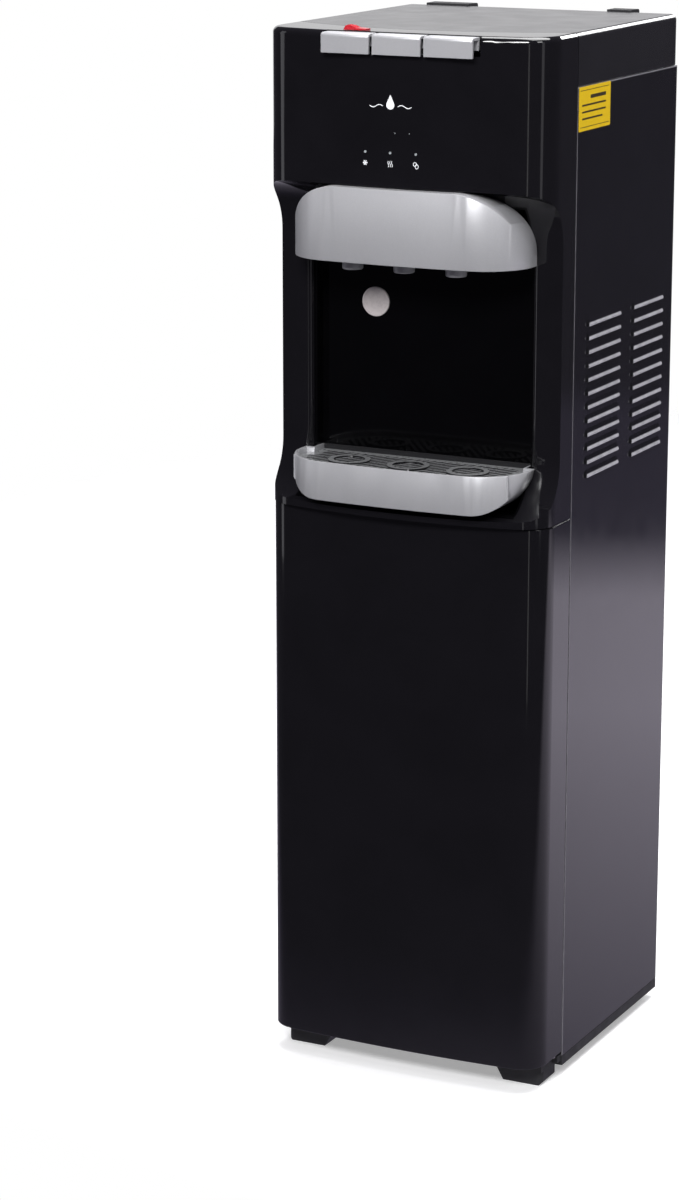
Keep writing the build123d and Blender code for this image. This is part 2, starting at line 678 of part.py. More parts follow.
with BuildPart() as strike_plate:
    plate_x = (-half + shell + 1.0, -half + 14.0)
    block(plate_x, (door_rear - 2.5, door_rear - 1.0), (catch_z - 18, catch_z + 18))
save(strike_plate, "strike_plate")

with BuildPart() as door_catch:
    magnet_z = (catch_z - 16, catch_z + 16)
    block((-half + shell + 0.6, -half + 14.0), (door_rear - 0.6, door_rear + 3.0), magnet_z)
    block((-inner_half, -half + 14.0), (door_rear + 2.0, door_rear + 16.0), magnet_z)
    block((-inner_half, -half + 5.0), (door_rear + 16.0, door_rear + 26.0), (catch_z - 22, catch_z + 22))
save(door_catch, "door_catch")

with BuildPart() as lower_hinge:
    block((pin_x - 34.0, pin_x + 2.0), (ear_front + 6.0, seam_y + 20.0), (base_top, base_top + 1.5))
    rod((pin_x, pin_y, base_top), (0, 0, 1), 16.0, pin_radius)
    rod((pin_x, pin_y, base_top), (0, 0, 1), 2.0, pin_radius + 2.0)
save(lower_hinge, "lower_hinge")

with BuildPart() as upper_hinge:
    plate_z = hinge_plate_z
    block((pin_x - 30.0, pin_x + 2.0), (pin_y - 5.0, seam_y + 34.0), (plate_z, plate_z + 2.0))
    rod((pin_x, pin_y, door_top - 12.0), (0, 0, 1), plate_z - door_top + 13.0, pin_radius)
save(upper_hinge, "upper_hinge")

# ----------------------------------------------------- bottle probe and pump
hook_z = base_top + 420.0
neck_radius = 7.0
with BuildPart() as probe_hook:
    block((suction_x - 9, suction_x + 9), (suction_y - 4.0, back_y - sheet), (hook_z + 8.0, hook_z + 14.0))
    rod((suction_x, suction_y, hook_z), (0, 0, 1), 20, neck_radius + 0.2, Mode.SUBTRACT)
    block((suction_x - 6.2, suction_x + 6.2), (suction_y - 9, suction_y), (hook_z, hook_z + 20),
          Mode.SUBTRACT)
    block((suction_x - 9, suction_x + 9), (back_y - 3.2, back_y - sheet), (hook_z - 6.0, hook_z + 26.0))
save(probe_hook, "probe_hook")

with BuildPart() as probe_cap:
    rod((suction_x, suction_y, hook_z - 24.0), (0, 0, 1), 26.0, 19.0)
    fillet(probe_cap.edges().group_by(Axis.Z)[-1], 4.0)
    rod((suction_x, suction_y, hook_z - 28.0), (0, 0, 1), 26.0, 16.5, Mode.SUBTRACT)
    rod((suction_x, suction_y, hook_z - 218.0), (0, 0, 1), 218.0, 5.0)
    rod((suction_x, suction_y, hook_z), (0, 0, 1), 22.0, neck_radius)
save(probe_cap, "probe_cap")

pump_z = deck_z + deck_sheet
pump_port_z = pump_z + 22.0
pump_top = pump_z + 64.0
with BuildPart() as water_pump:
    rod((0, pump_y, pump_z), (0, 0, 1), 34.0, pump_radius)
    rod((0, pump_y, pump_z + 34), (0, 0, 1), 22.0, pump_radius - 5.0)
    rod((0, pump_y, pump_top - 8.0), (0, 0, 1), 8.0, pipe_radius + 1.5)
    block((-pump_radius - 5, pump_radius + 5), (pump_y - 8, pump_y + 8), (pump_z, pump_z + 2.5))
    rod((pump_radius - 2.0, pump_y, pump_port_z), (1, 0, 0), 10.0, pipe_radius + 1.5)
    fillet(water_pump.edges().filter_by(GeomType.CIRCLE).group_by(Axis.Z)[-2], 1.0)
save(water_pump, "water_pump")

with BuildPart() as suction_tube:
    route = [(pump_radius + 8.0, pump_y, pump_port_z), (suction_x, pump_y, pump_port_z),
             (suction_x, suction_y, pump_port_z), (suction_x, suction_y, hook_z + 22.0)]
    hose(route, 18.0, pipe_radius, pipe_bore)
save(suction_tube, "suction_tube")

# ------------------------------------------------------ tanks on their shelf
with BuildPart() as tank_shelf:
    block((-panel_half, panel_half), (seam_y + 2.0, back_y - 2.6), (shelf_z, shelf_z + deck_sheet))
    for flange_y in (seam_y + 2.0, back_y - 2.6 - deck_sheet):
        block((-panel_half, panel_half), (flange_y, flange_y + deck_sheet), (shelf_z - 10.0, shelf_z))
    rod((0, pump_y, shelf_z - 1), (0, 0, 1), 5, 7.0, Mode.SUBTRACT)
    rod((hot_x, tank_y, shelf_z - 1), (0, 0, 1), 5, 7.0, Mode.SUBTRACT)
save(tank_shelf, "tank_shelf")


def drum(x, y, z, radius, corner):
    """An upright cylinder between two z values with round corners."""
    with BuildPart() as form:
        rod((x, y, z[0]), (0, 0, 1), z[1] - z[0], radius)
        fillet(form.edges().filter_by(GeomType.CIRCLE), corner)
    return form.part


def tank(x, radius, low):
    """Upright stainless tank with domed corners, open through its neck."""
    top = low + tank_height
    with BuildPart() as vessel:
        add(drum(x, tank_y, (low, top), radius, 10.0))
        rod((x, tank_y, top - 1.0), (0, 0, 1), 11.0, 5.5)
        room = (low + tank_wall, top - tank_wall)
        add(drum(x, tank_y, room, radius - tank_wall, 10.0 - tank_wall), mode=Mode.SUBTRACT)
        rod((x, tank_y, top - 5.0), (0, 0, 1), 20.0, neck_bore, Mode.SUBTRACT)
    return vessel


save(tank(cold_x, cold_radius, tank_z), "cold_tank")

leg_ring = 22.0
leg_radius = 4.0
with BuildPart() as hot_tank:
    add(tank(hot_x, hot_radius, tank_z).part)
    for turn in (90, 210, 330):
        angle = radians(turn)
        foot_at = (hot_x + leg_ring * cos(angle), tank_y + leg_ring * sin(angle), shelf_z + deck_sheet)
        rod(foot_at, (0, 0, 1), tank_z - shelf_z - deck_sheet + 0.5, leg_radius)
save(hot_tank, "hot_tank")

coil_gap = 2 * coil_radius + 0.6
with BuildPart() as evaporator_coil:
    for turn in range(6):
        with Locations((cold_x, tank_y, tank_z + 18.0 + turn * 9.0)):
            Torus(cold_radius + coil_radius + 0.2, coil_radius)
save(evaporator_coil, "evaporator_coil")

foam_inner = cold_radius + coil_gap + 0.4
with BuildPart() as foam_jacket:
    rod((cold_x, tank_y, shelf_z + deck_sheet), (0, 0, 1), tank_height + 34.0, foam_inner + foam)
    rod((cold_x, tank_y, tank_z - 0.2), (0, 0, 1), tank_height + 0.4, foam_inner, Mode.SUBTRACT)
    rod((cold_x, tank_y, tank_z), (0, 0, 1), tank_height + 60, 6.0, Mode.SUBTRACT)
    rod((tap_pitch, niche_y, spigot_z), (0, 1, 0), tank_y - niche_y, pipe_radius + 0.6, Mode.SUBTRACT)
save(foam_jacket, "foam_jacket")

with BuildPart() as band_heater:
    rod((hot_x, tank_y, tank_z + 22.0), (0, 0, 1), 34.0, hot_radius + 3.4)
    rod((hot_x, tank_y, tank_z + 21.0), (0, 0, 1), 36.0, hot_radius + 0.2, Mode.SUBTRACT)
    clamp_y = tank_y - hot_radius
    block((hot_x - 8, hot_x + 8), (clamp_y - 14.0, clamp_y - 2.0), (tank_z + 26, tank_z + 52))
    block((hot_x - 1, hot_x + 1), (clamp_y - 20.0, clamp_y + 4.0), (tank_z + 20, tank_z + 58), Mode.SUBTRACT)
save(band_heater, "band_heater")

with BuildPart() as water_pipes:
    spigot_end = niche_y + 11.0
    pump_route = [(0, pump_y, pump_top), (0, pump_y, spigot_z), (0, spigot_end, spigot_z)]
    hose(pump_route, pipe_bend, pipe_radius, pipe_bore)
    hot_end = (hot_x, tank_y - hot_radius - 0.1, spigot_z)
    hot_route = [(-tap_pitch, spigot_end, spigot_z), (-tap_pitch, niche_y + 45.0, spigot_z),
                 (hot_x, niche_y + 45.0, spigot_z), hot_end]
    hose(hot_route, pipe_bend, pipe_radius, pipe_bore)
    cold_run = tank_y - cold_radius - slack - spigot_end
    rod((tap_pitch, spigot_end, spigot_z), (0, 1, 0), cold_run, pipe_radius)
    rod((tap_pitch, spigot_end, spigot_z), (0, 1, 0), cold_run, pipe_bore, Mode.SUBTRACT)
save(water_pipes, "water_pipes")

with BuildPart() as drain_spout:
    hose([(hot_x, tank_y, tank_z - 0.2), (hot_x, tank_y, drain_z), (drain_x, tank_y + 2.0, drain_z),
          (drain_x, back_y + 9.0, drain_z)], pipe_bend, pipe_radius, pipe_bore)
    rod((drain_x, back_y, drain_z), (0, 1, 0), 1.6, 9.0)
    rod((drain_x, back_y - 0.5, drain_z), (0, 1, 0), 9.5, pipe_bore, Mode.SUBTRACT)
save(drain_spout, "drain_spout")

with BuildPart() as drain_cap:
    rod((drain_x, back_y + 2.2, drain_z), (0, 1, 0), 14.0, 8.0)
    rod((drain_x, back_y + 2.0, drain_z), (0, 1, 0), 8.0, pipe_radius + pin_slack, Mode.SUBTRACT)
    with BuildSketch(Plane.XZ.offset(-back_y - 5.0)) as grips:
        with Locations((drain_x, drain_z)):
            with PolarLocations(8.2, 12):
                Circle(1.0)
    extrude(grips.sketch, amount=-15.0, mode=Mode.SUBTRACT)
save(drain_cap, "drain_cap")

# ------------------------------------------------------------ cooling circuit
with BuildPart() as compressor:
    low = pump_z + 14.0
    high = low + 132.0
    add(drum(0, compressor_y, (low, high), compressor_radius, 24.0))
    rod((0, compressor_y, low + 58), (0, 0, 1), 4.0, compressor_radius + 3.0)
    room = (low + compressor_wall, high - compressor_wall)
    inner = drum(0, compressor_y, room, compressor_radius - compressor_wall, 24.0 - compressor_wall)
    add(inner, mode=Mode.SUBTRACT)
    rod((0, compressor_y, low + 1.0), (0, 0, 1), 90.0, motor_radius)
    rod((-30.0, compressor_y, high - 10.0), (0, 0, 1), 20.0, 2.0, Mode.SUBTRACT)
    block((-78, 78), (compressor_y - 40, compressor_y + 40), (low - 2.0, low + 1.2))
    for x in (-66, 66):
        for y in (compressor_y - 30, compressor_y + 30):
            rod((x, y, low - 5), (0, 0, 1), 10, 5.0, Mode.SUBTRACT)
save(compressor, "compressor")

with BuildPart() as compressor_mounts:
    for x in (-66, 66):
        for y in (compressor_y - 30, compressor_y + 30):
            rod((x, y, pump_z), (0, 0, 1), 11.9, 9.0)
            rod((x, y, pump_z), (0, 0, 1), 17.5, 4.8)
            rod((x, y, pump_z + 15.4), (0, 0, 1), 2.5, 7.5)
save(compressor_mounts, "compressor_mounts")

tube_y = back_y + 13.0
tube_radius = 2.4
wire_radius = 0.9
grid_half = 104.0
grid_low = base_top + 40.0
grid_pitch = 46.0
grid_runs = 15
grid_high = grid_low + (grid_runs - 1) * grid_pitch
with BuildPart() as condenser_tube:
    corners = []
    for run in range(grid_runs):
        z = grid_high - run * grid_pitch
        ends = (grid_half, -grid_half) if run % 2 == 0 else (-grid_half, grid_half)
        corners += [(ends[0], tube_y, z), (ends[1], tube_y, z)]
    hose(corners, grid_pitch / 2 - 1.0, tube_radius)
save(condenser_tube, "condenser_tube")

with BuildPart() as condenser_wires:
    wires = 26
    for index in range(wires):
        x = -grid_half + 18.0 + index * (2 * grid_half - 36.0) / (wires - 1)
        y = tube_y + tube_radius + wire_radius + 0.02
        rod((x, y, grid_low - 8), (0, 0, 1), grid_high - grid_low + 16, wire_radius)
save(condenser_wires, "condenser_wires")

with BuildPart() as condenser_brackets:
    for x in (-grid_half + 60.0, grid_half - 60.0):
        for row in (2, grid_runs - 3):
            z = grid_low + row * grid_pitch
            block((x - 6, x + 6), (back_y, tube_y - tube_radius - 0.05), (z - 10, z + 10))
save(condenser_brackets, "condenser_brackets")

with BuildPart() as discharge_pipe:
    start_y = compressor_y + 20.0
    start_x = (compressor_radius ** 2 - (20.0 - tube_radius) ** 2) ** 0.5 + 0.1
    route = [(start_x, start_y, discharge_z), (discharge_x, start_y, discharge_z),
             (discharge_x, tube_y, discharge_z), (discharge_x, tube_y, grid_high),
             (grid_half + 0.05, tube_y, grid_high)]
    hose(route, 8.0, tube_radius)
save(discharge_pipe, "discharge_pipe")

# ------------------------------------------------------- electrics at the rear
with BuildPart() as cord_gland:
    rod((gland_x, back_y, gland_z), (0, 1, 0), 3.0, 12.0)
    rod((gland_x, back_y - 8.0, gland_z), (0, 1, 0), 8.0, gland_hole - 0.1)
    rod((gland_x, back_y + 3.0, gland_z), (0, 1, 0), 9.0, 7.0)
    rod((gland_x, back_y - 9.0, gland_z), (0, 1, 0), 25.0, 4.0, Mode.SUBTRACT)
save(cord_gland, "cord_gland")

rocker_pin_y = back_y - 4.0
with BuildPart() as switch_housings:
    for x in switch_x:
        block((x - 12, x + 12), (back_y, back_y + 2.0), (switch_z - 9, switch_z + 9))
        block((x - 10, x + 10), (back_y - 14, back_y), (switch_z - 7, switch_z + 7))
        block((x - 8.2, x + 8.2), (back_y - 11, back_y + 5), (switch_z - 5.4, switch_z + 5.4), Mode.SUBTRACT)
        rod((x - 9.5, rocker_pin_y, switch_z), (1, 0, 0), 19, 1.05, Mode.SUBTRACT)
save(switch_housings, "switch_housings")

for x, name in zip(switch_x, ("heater", "cooler")):
    with BuildPart() as rocker:
        with BuildSketch(Plane.YZ.offset(x - 7.6)) as side_view:
            with BuildLine():
                inner_y = rocker_pin_y - 2.0
                Polyline((back_y + 2.4, switch_z + 3.6), (back_y + 0.9, switch_z),
                         (back_y + 0.6, switch_z - 3.6), (inner_y, switch_z - 2.8),
                         (inner_y, switch_z + 2.8), (back_y + 2.4, switch_z + 3.6))
            make_face()
        extrude(side_view.sketch, amount=15.2)
        rod((x - 9.3, rocker_pin_y, switch_z), (1, 0, 0), 18.6, 1.0)
    save(rocker, f"{name}_rocker")

with BuildPart() as control_box:
    block((-134, -72), (deck_front + 16.0, deck_front + 52.0), (pump_z, pump_z + 96.0))
    fillet(control_box.edges().filter_by(Axis.Z), 3.0)
    for step in range(5):
        z = pump_z + 24 + 12 * step
        block((-124, -82), (deck_front + 12.0, deck_front + 18.0), (z, z + 4), Mode.SUBTRACT)
save(control_box, "control_box")

with BuildPart() as rear_screws:
    for x in (-panel_half + 12, panel_half - 12):
        for z in (skirt_top + 30, deck_z - 40, deck_z + 150, cap_bottom - 60):
            rod((x, back_y, z), (0, 1, 0), 1.6, 3.8)
            rod((x, back_y + 0.8, z), (0, 1, 0), 1.0, 1.2, Mode.SUBTRACT)
save(rear_screws, "rear_screws")
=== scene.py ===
import bmesh
import bpy
import json
from math import cos, pi, radians, sin
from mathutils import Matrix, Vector

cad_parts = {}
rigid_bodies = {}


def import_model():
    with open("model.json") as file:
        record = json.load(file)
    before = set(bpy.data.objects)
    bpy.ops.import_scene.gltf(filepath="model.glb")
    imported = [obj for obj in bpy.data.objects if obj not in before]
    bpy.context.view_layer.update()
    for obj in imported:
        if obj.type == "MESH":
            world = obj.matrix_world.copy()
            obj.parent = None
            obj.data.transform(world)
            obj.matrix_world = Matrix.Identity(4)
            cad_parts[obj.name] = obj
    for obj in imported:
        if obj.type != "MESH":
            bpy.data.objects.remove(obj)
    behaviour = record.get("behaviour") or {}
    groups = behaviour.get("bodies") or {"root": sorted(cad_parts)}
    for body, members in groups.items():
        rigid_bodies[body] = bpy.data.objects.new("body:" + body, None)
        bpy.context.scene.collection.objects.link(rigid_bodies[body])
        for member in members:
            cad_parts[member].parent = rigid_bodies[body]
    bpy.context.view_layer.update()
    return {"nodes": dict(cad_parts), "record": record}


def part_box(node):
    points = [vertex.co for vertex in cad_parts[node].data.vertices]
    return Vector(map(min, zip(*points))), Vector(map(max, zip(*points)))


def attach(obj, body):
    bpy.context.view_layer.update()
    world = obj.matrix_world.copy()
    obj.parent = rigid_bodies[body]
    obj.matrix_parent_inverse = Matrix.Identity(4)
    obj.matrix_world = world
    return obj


# A floor-standing water dispenser: finishes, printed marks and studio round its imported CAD.
# Metres throughout, in the CAD's own frame: x across, -y to the front, z up.

for default in list(bpy.data.objects):
    bpy.data.objects.remove(default)

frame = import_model()
nodes = frame["nodes"]
MM = 0.001


# ------------------------------------------------------------------ node helpers
class Finish:
    """A material with one Principled shader, whose inputs take small node patterns."""

    def __init__(self, name):
        self.material = bpy.data.materials.new(name)
        self.material.use_nodes = True
        self.tree = self.material.node_tree
        self.shader = self.tree.nodes["Principled BSDF"]
        self.place = self.tree.nodes.new("ShaderNodeTexCoord").outputs["Object"]

    def node(self, kind, **settings):
        made = self.tree.nodes.new(kind)
        for name, value in settings.items():
            setattr(made, name, value)
        return made

    def link(self, source, target):
        self.tree.links.new(source, target)

    def set(self, **values):
        """Plain values on the shader: base_color becomes the socket Base Color."""
        for name, value in values.items():
            label = name.replace("_", " ").title().replace("Ior", "IOR")
            if isinstance(value, tuple) and len(value) == 3:
                value = (*value, 1.0)
            self.shader.inputs[label].default_value = value
        return self

    def stretched(self, stretch):
        """Object coordinates scaled along each axis."""
        mapping = self.node("ShaderNodeMapping")
        mapping.inputs["Scale"].default_value = stretch
        self.link(self.place, mapping.inputs["Vector"])
        return mapping.outputs["Vector"]

    def noise(self, scale, detail=3.0, rough=0.55, stretch=(1, 1, 1), warp=0.0):
        made = self.node("ShaderNodeTexNoise")
        made.inputs["Scale"].default_value = scale
        made.inputs["Detail"].default_value = detail
        made.inputs["Roughness"].default_value = rough
        made.inputs["Distortion"].default_value = warp
        self.link(self.stretched(stretch), made.inputs["Vector"])
        return made.outputs["Fac"]

    def cells(self, scale, stretch=(1, 1, 1), feature="F1", output="Distance"):
        made = self.node("ShaderNodeTexVoronoi", feature=feature)
        made.inputs["Scale"].default_value = scale
        self.link(self.stretched(stretch), made.inputs["Vector"])
        return made.outputs[output]

    def spread(self, source, low, high, start=0.3, end=0.7):
        """A number that runs from low to high as the source runs from start to end."""
        made = self.node("ShaderNodeMapRange")
        for name, value in (("From Min", start), ("From Max", end), ("To Min", low), ("To Max", high)):
            made.inputs[name].default_value = value
        self.link(source, made.inputs["Value"])
        return made.outputs["Result"]

    def mix(self, factor, first, second):
        """A colour between two colours or sockets."""
        made = self.node("ShaderNodeMix", data_type="RGBA")
        self.link(factor, made.inputs["Factor"])
        for name, value in (("A", first), ("B", second)):
            socket = next(s for s in made.inputs if s.name == name and s.type == "RGBA")
            if isinstance(value, tuple):
                socket.default_value = (*value, 1.0)
            else:
                self.link(value, socket)
        return next(s for s in made.outputs if s.type == "RGBA")

    def colour(self, factor, first, second):
        self.link(self.mix(factor, first, second), self.shader.inputs["Base Color"])
        return self

    def colour_source(self):
        """The socket that feeds the base colour so far."""
        return self.shader.inputs["Base Color"].links[0].from_socket

    def roughness(self, source, low, high, start=0.3, end=0.7):
        self.link(self.spread(source, low, high, start, end), self.shader.inputs["Roughness"])
        return self

    def bumps(self, *layers):
        """Height patterns as (source, depth in metres), each on top of the last."""
        normal = None
        for source, depth in layers:
            made = self.node("ShaderNodeBump")
            made.inputs["Strength"].default_value = 1.0
            made.inputs["Distance"].default_value = depth
            self.link(source, made.inputs["Height"])
            if normal:
                self.link(normal, made.inputs["Normal"])
            normal = made.outputs["Normal"]
        self.link(normal, self.shader.inputs["Normal"])
        return self


# ---------------------------------------------------------------------- finishes
def gloss_black():
    """Piano-black moulding: faint waviness, fine handling haze."""
    f = Finish("gloss_black_finish").set(ior=1.5, coat_weight=0.35, coat_roughness=0.03)
    haze = f.noise(14, 5, 0.6, warp=0.6)
    f.colour(haze, (0.0035, 0.0033, 0.0042), (0.0075, 0.007, 0.009))
    f.roughness(f.noise(30, 6, 0.65, warp=0.4), 0.045, 0.11)
    f.bumps((f.noise(9, 1, 0.4), 0.00018), (f.noise(260, 2, 0.5), 0.0000025))
    return f


def painted_black(name="painted_black_finish"):
    """Glossy powder-coated steel with orange peel."""
    f = Finish(name).set(ior=1.52, coat_weight=0.3, coat_roughness=0.05)
    f.colour(f.noise(18, 4, 0.6), (0.004, 0.0038, 0.0052), (0.009, 0.0085, 0.012))
    f.roughness(f.noise(45, 5, 0.6), 0.07, 0.15)
    f.bumps((f.noise(5, 1, 0.4), 0.0005), (f.noise(520, 2, 0.5), 0.000005))
    return f


def louvred_side():
    """The same paint on a side panel, with painted highlights on its louvre lips, its top fold and its
    front edge.
    """
    low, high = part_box("right_side_panel")
    f = painted_black("louvred_side_finish")
    paint = f.colour_source()
    place = f.node("ShaderNodeSeparateXYZ")
    f.link(f.place, place.inputs["Vector"])
    outward = f.node("ShaderNodeMath", operation="ABSOLUTE")
    f.link(place.outputs["X"], outward.inputs[0])
    lip = f.spread(outward.outputs["Value"], 0.0, 1.0, high.x - 1.0 * MM, high.x - 0.5 * MM)
    fold = f.spread(place.outputs["Z"], 0.0, 0.6, high.z - 1.6 * MM, high.z - 1.0 * MM)
    front = f.spread(place.outputs["Y"], 0.35, 0.0, low.y + 0.6 * MM, low.y + 1.0 * MM)
    # Painted highlight: masks on the louvre lips, the top fold and the front edge, to be lightened.
    painted_highlight = lip
    for edge in (fold, front):
        either = f.node("ShaderNodeMath", operation="MAXIMUM")
        f.link(painted_highlight, either.inputs[0])
        f.link(edge, either.inputs[1])
        painted_highlight = either.outputs["Value"]
    uneven = f.node("ShaderNodeMath", operation="MULTIPLY")
    f.link(painted_highlight, uneven.inputs[0])
    f.link(f.spread(f.noise(90, 4, 0.6), 0.7, 1.0), uneven.inputs[1])
    # Painted highlight: light grey over the black paint where the masks reach.
    f.colour(uneven.outputs["Value"], paint, (0.5, 0.49, 0.53))
    return f


def deep_black():
    """The niche's polished lining, darker than the shell round it: painted shade for the recess."""
    f = Finish("deep_black_finish").set(ior=1.4, specular_ior_level=0.3)
    # Painted shade: a near-black colour for the niche's recess.
    f.colour(f.noise(20, 4, 0.6), (0.0008, 0.0008, 0.001), (0.0018, 0.0017, 0.0022))
    f.roughness(f.noise(30, 5, 0.6, warp=0.4), 0.05, 0.12)
    f.bumps((f.noise(9, 1, 0.4), 0.00015))
    return f


def satin_cover():
    """Satin black top: a fine, even grain."""
    f = Finish("satin_cover_finish").set(ior=1.5)
    f.colour(f.noise(25, 4, 0.6), (0.012, 0.012, 0.014), (0.02, 0.019, 0.023))
    f.roughness(f.noise(30, 3, 0.5), 0.15, 0.19)
    f.bumps((f.noise(5, 1, 0.4), 0.00004), (f.noise(500, 2, 0.5), 0.000002))
    return f


def matte_black():
    """Moulded structural plastic with a spark-eroded grain."""
    f = Finish("matte_black_finish").set(ior=1.47)
    f.colour(f.noise(30, 5, 0.65), (0.012, 0.012, 0.013), (0.03, 0.03, 0.033))
    f.roughness(f.noise(80, 4, 0.6), 0.42, 0.6)
    f.bumps((f.cells(1100, output="Distance"), 0.00004), (f.noise(200, 3, 0.6), 0.00002))
    return f


def satin_silver(name="satin_silver_finish"):
    """Metallic paint: flake sparkle under a satin clear coat."""
    f = Finish(name).set(metallic=0.3, ior=1.45, coat_weight=0.05, coat_roughness=0.3)
    flake = f.cells(2600, output="Color")
    tone = f.spread(f.noise(12, 3, 0.5), 0.0, 1.0)
    base = f.mix(tone, (0.46, 0.46, 0.48), (0.5, 0.5, 0.52))
    f.colour(f.spread(flake, 0.0, 0.28, 0.0, 1.0), base, (0.72, 0.72, 0.76))
    f.roughness(f.noise(900, 2, 0.6), 0.36, 0.46)
    f.bumps((f.cells(2600, output="Distance"), 0.00001), (f.noise(14, 1, 0.4), 0.00006))
    return f


def tray_silver():
    """The same paint, with painted shade inside the tray and on its rear wall."""
    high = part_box("drip_tray")[1]
    f = satin_silver("tray_silver_finish")
    paint = f.colour_source()
    # Painted shade: occlusion darkens the tray's inside.
    hollow = f.node("ShaderNodeAmbientOcclusion", samples=6)
    hollow.inputs["Distance"].default_value = 0.03
    open_air = f.spread(hollow.outputs["AO"], 0.0, 1.0, 0.12, 0.42)
    place = f.node("ShaderNodeSeparateXYZ")
    f.link(f.place, place.inputs["Vector"])
    # Painted shade on the rear wall, behind a given y.
    ahead = f.spread(place.outputs["Y"], 1.0, 0.0, high.y - 3.6 * MM, high.y - 3.2 * MM)
    out_of_painted_shade = f.node("ShaderNodeMath", operation="MULTIPLY")
    f.link(open_air, out_of_painted_shade.inputs[0])
    f.link(ahead, out_of_painted_shade.inputs[1])
    # Near-black painted shade where the mask is low, the silver paint elsewhere.
    f.colour(out_of_painted_shade.outputs["Value"], (0.018, 0.018, 0.02), paint)
    return f


def grille_grey():
    """Grey metallic moulding, with painted shade on the walls inside its slots."""
    f = Finish("grille_grey_finish").set(metallic=0.3, ior=1.5)
    top = f.mix(f.noise(40, 5, 0.6), (0.33, 0.335, 0.345), (0.42, 0.425, 0.435))
    facing = f.node("ShaderNodeSeparateXYZ")
    f.link(f.node("ShaderNodeNewGeometry").outputs["True Normal"], facing.inputs["Vector"])
    # Painted shade: faces that don't look up are near black.
    f.colour(f.spread(facing.outputs["Z"], 0.0, 1.0, 0.35, 0.8), (0.012, 0.012, 0.014), top)
    f.roughness(f.noise(240, 4, 0.6), 0.24, 0.36)
    f.bumps((f.cells(2200, output="Distance"), 0.000012), (f.noise(90, 3, 0.6), 0.00001))
    return f


def badge_white():
    """Pearl-grey printed disc."""
    f = Finish("badge_white_finish").set(ior=1.5, coat_weight=0.6, coat_roughness=0.08)
    f.colour(f.noise(160, 4, 0.6), (0.56, 0.51, 0.51), (0.66, 0.61, 0.61))
    f.roughness(f.noise(300, 3, 0.6), 0.22, 0.34)
    f.bumps((f.noise(700, 3, 0.5), 0.000006))
    return f


def coloured_plastic(name, dark, light):
    """Small glossy switch and lock mouldings."""
    f = Finish(name).set(ior=1.49, coat_weight=0.4, coat_roughness=0.08)
    f.colour(f.noise(220, 3, 0.6), dark, light)
    f.roughness(f.noise(500, 3, 0.6), 0.2, 0.34)
    f.bumps((f.cells(1800, output="Distance"), 0.000015))
    return f


def light_liner():
    """Vacuum-formed polystyrene: soft gloss and slight thinning marks."""
    f = Finish("light_liner_finish").set(ior=1.5, subsurface_weight=0.08)
    f.shader.inputs["Subsurface Radius"].default_value = (0.004, 0.004, 0.003)
    f.colour(f.noise(10, 5, 0.6, warp=0.5), (0.66, 0.67, 0.67), (0.78, 0.79, 0.785))
    f.roughness(f.noise(50, 4, 0.6), 0.34, 0.5)
    f.bumps((f.noise(24, 2, 0.5), 0.00025), (f.noise(800, 3, 0.6), 0.00001))
    return f


def lens_clear():
    """Small light pipes: milky clear, with a slight glow."""
    f = Finish("lens_clear_finish").set(ior=1.49, emission_strength=0.03)
    f.set(emission_color=(0.75, 0.82, 0.85))
    f.colour(f.noise(900, 2, 0.5), (0.3, 0.33, 0.34), (0.45, 0.48, 0.5))
    f.roughness(f.noise(1500, 2, 0.5), 0.12, 0.25)
    return f


def board_green():
    """Laminate with solder mask over copper tracks."""
    f = Finish("board_green_finish").set(ior=1.55, coat_weight=0.5, coat_roughness=0.12)
    tracks = f.spread(f.cells(180, (1, 1, 0.1), "DISTANCE_TO_EDGE"), 1.0, 0.0, 0.03, 0.05)
    f.colour(tracks, (0.012, 0.09, 0.04), (0.05, 0.22, 0.09))
    f.roughness(f.noise(400, 3, 0.6), 0.28, 0.42)
    f.bumps((tracks, 0.00003))
    return f


def galvanised():
    """Zinc-coated sheet with its spangle."""
    f = Finish("galvanised_finish").set(metallic=0.95)
    spangle = f.cells(150, output="Color")
    f.colour(f.spread(spangle, 0.0, 1.0, 0.1, 0.9), (0.46, 0.465, 0.475), (0.54, 0.545, 0.555))
    f.roughness(spangle, 0.38, 0.46, 0.1, 0.9)
    f.bumps((f.noise(300, 4, 0.6), 0.00001), (f.noise(7, 1, 0.4), 0.0004))
    return f


def bright_steel():
    """Stainless with fine turning and brushing lines."""
    f = Finish("bright_steel_finish").set(metallic=1.0)
    lines = f.noise(60, 4, 0.7, stretch=(1, 1, 40))
    f.colour(lines, (0.48, 0.47, 0.46), (0.66, 0.65, 0.64))
    f.roughness(lines, 0.18, 0.34)
    f.bumps((lines, 0.00001), (f.noise(30, 2, 0.5), 0.00006))
    return f


def black_steel():
    """Stoved black enamel over pressed steel."""
    f = Finish("black_steel_finish").set(ior=1.5, coat_weight=0.4, coat_roughness=0.15)
    f.colour(f.noise(45, 5, 0.65), (0.006, 0.006, 0.007), (0.018, 0.018, 0.02))
    f.roughness(f.noise(90, 4, 0.6), 0.22, 0.4)
    f.bumps((f.noise(420, 3, 0.6), 0.00003), (f.noise(16, 2, 0.5), 0.0002))
    return f


def copper():
    """Drawn tube, dulled and stained in patches."""
    f = Finish("copper_finish").set(metallic=1.0)
    stain = f.noise(38, 6, 0.7, warp=1.2)
    f.colour(f.spread(stain, 0.0, 1.0, 0.4, 0.65), (0.72, 0.36, 0.2), (0.32, 0.16, 0.1))
    f.roughness(stain, 0.24, 0.5, 0.4, 0.65)
    f.bumps((f.noise(500, 3, 0.6), 0.00001))
    return f


